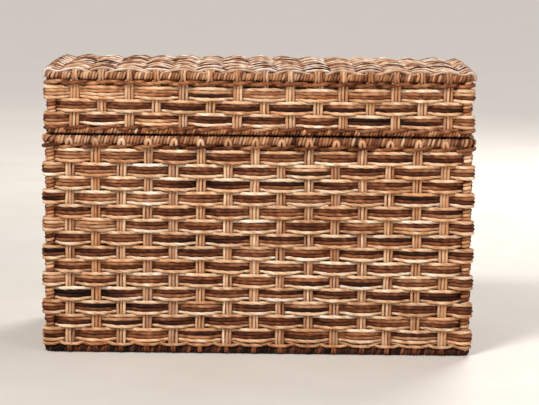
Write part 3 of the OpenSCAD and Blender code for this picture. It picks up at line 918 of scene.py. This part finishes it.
# Name, place, the point it faces, size, power and colour
LIGHTS = [
    ("key", (-1.3, -2.6, 3.2), (0, 0, 0.2), 1.1, 152, (1.0, 0.985, 0.97)),
    ("fill", (2.2, -3.0, 1.5), (0, 0, 0.25), 1.4, 40, (1.0, 0.98, 0.96)),
    ("back", (1.2, 2.8, 2.4), (0, 0, 0.3), 1.6, 100, (1.0, 0.98, 0.96)),
]


def area_light(name, place, target, size, power, colour):
    data = bpy.data.lights.new(name, "AREA")
    data.shape = "DISK"
    data.size = size
    data.energy = power
    data.color = colour
    lamp = bpy.data.objects.new(name, data)
    lamp.location = place
    lamp.rotation_euler = (Vector(target) - Vector(place)).to_track_quat("-Z", "Y").to_euler()
    bpy.context.scene.collection.objects.link(lamp)


def make_stage():
    bpy.ops.mesh.primitive_plane_add(size=FLOOR_SIZE)
    floor = bpy.context.object
    floor.name = "floor"
    floor.data.materials.append(floor_material())
    world = bpy.data.worlds.new("world")
    bpy.context.scene.world = world
    world.use_nodes = True
    sky = world.node_tree.nodes["Background"]
    sky.inputs["Color"].default_value = SKY_COLOUR
    sky.inputs["Strength"].default_value = SKY_STRENGTH
    for light in LIGHTS:
        area_light(*light)
    bpy.context.scene.view_settings.view_transform = "Standard"


# ---------------------------------------------------------------- the trunk

FRONT_SHARE = 0.32  # of the way round
BODY_DRIFT = -6.5 * MM
LID_DRIFT = 8 * MM


def light_to_dark(left, right):
    """The tone of a hoop's wrapping along the front, from its left end to its right end,
    which it keeps for the rest of the way round."""
    def tone(share):
        ahead = np.clip(share / FRONT_SHARE, 0, 1)
        return left + (right - left) * ahead
    return tone


def make_body(wall):
    for n in range(1, BODY_COURSES + 1):
        weave_course(f"weave_course_{n:02d}", wall, n + 1, "trunk")
    body_stakes(wall)
    corner_posts()
    twine("rim_twine_strands", "rim_twine", wall, "trunk",
          2.6 * MM, 0, SWING + 0.8 * MM, 3.1 * MM, 0.38, 0.1, 1.2 * MM)
    twine("base_twine_strands", "base_twine", wall, "trunk",
          0.0, 2.2 * MM, SWING + 1.2 * MM, 2.4 * MM, 0.62, -0.1)
    mesh, section = wrap_rod("rim_wrap", wall, light_to_dark(0.57, 0.43), 0.4,
                             pitch=5.4 * MM, fuller=-0.6 * MM, shift=(0.3 * MM, -0.5 * MM))
    add_loops(mesh, wall, section, 3.9 * MM, 3.0 * MM,
              math.radians(-80), math.radians(16), 0.70, 0.0)
    mesh.piece("rim_wrapping", "rod_wrapping", "trunk", "rim_wrap")
    # Painted shade: the base wrapping and its loops are given dark tones for the shadow where the
    # trunk meets the floor
    mesh, section = wrap_rod("base_wrap", wall, light_to_dark(0.15, 0.15), -0.1,
                             cord=2.4 * MM)
    add_loops(mesh, wall, section, 2.0 * MM, 2.1 * MM,
              math.radians(-26), math.radians(62), 0.33, -0.3)
    mesh.flatten(FLOOR_Z)
    mesh.piece("base_wrapping", "rod_wrapping", "trunk", "base_wrap")
    woven_panel("base_panel", "base_stakes", wall, "trunk", 2, (5 * MM, 3.4 * MM), 0.0)


def make_lid(wall):
    for n in range(1, LID_COURSES + 1):
        weave_course(f"lid_course_{n}", wall, n, "lid")
    lid_stakes(wall)
    twine("lid_rim_twine_strands", "lid_rim_twine", wall, "lid",
          2.5 * MM, 0, 6.9 * MM, 3.0 * MM, 0.37, 0.1, 0.8 * MM)
    twine("lid_top_twine_strands", "lid_top_twine", wall, "lid",
          2.0 * MM, 0, SWING, 3.0 * MM, 0.44, 0.0, 0.8 * MM)
    mesh, section = wrap_rod("lid_rim_wrap", wall, light_to_dark(0.54, 0.42), -0.1,
                             pitch=5.0 * MM, cord=2.3 * MM, fuller=1.1 * MM,
                             shift=(1.5 * MM, 0.0))
    mesh.piece("lid_rim_wrapping", "rod_wrapping", "lid", "lid_rim_wrap")
    mesh, section = wrap_rod("lid_top_wrap", wall, light_to_dark(0.57, 0.49), 0.05,
                             pitch=5.0 * MM, cord=2.6 * MM)
    add_bent_stakes(mesh, wall, section, CANE / 2)
    mesh.piece("lid_top_wrapping", "rod_wrapping", "lid", "lid_top_wrap")
    hoop = (wall.hx + section[0], section[1], section[2])
    # The lid's top strips are lighter and greyer than the walls': painted light and highlight for
    # the light falling on the top, partly also sun bleaching
    woven_panel("lid_top_panel", "lid_top_stakes", wall, "lid", 3,
                (STRAND_STEP[LIGHT], 1.5 * MM), 0.09, 4 * MM, hoop)


def finish_metal_and_rods():
    """The CAD parts that stay get their materials."""
    for name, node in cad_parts.items():
        if name.endswith("_rod"):
            slot = "core_rod"
        elif name.startswith("hinge_"):
            slot = "hinge_metal"
        elif name.startswith("stay_"):
            slot = "stay_metal"
        elif name.endswith("_rivets"):
            slot = "rivet_metal"
        else:
            continue
        node.data.materials.clear()
        node.data.materials.append(MATERIALS[slot])


make_camera()
make_stage()
make_body(Wall("right_stakes", "back_stakes", BODY_DRIFT))
make_lid(Wall("lid_stakes", "lid_stakes", LID_DRIFT))
finish_metal_and_rods()
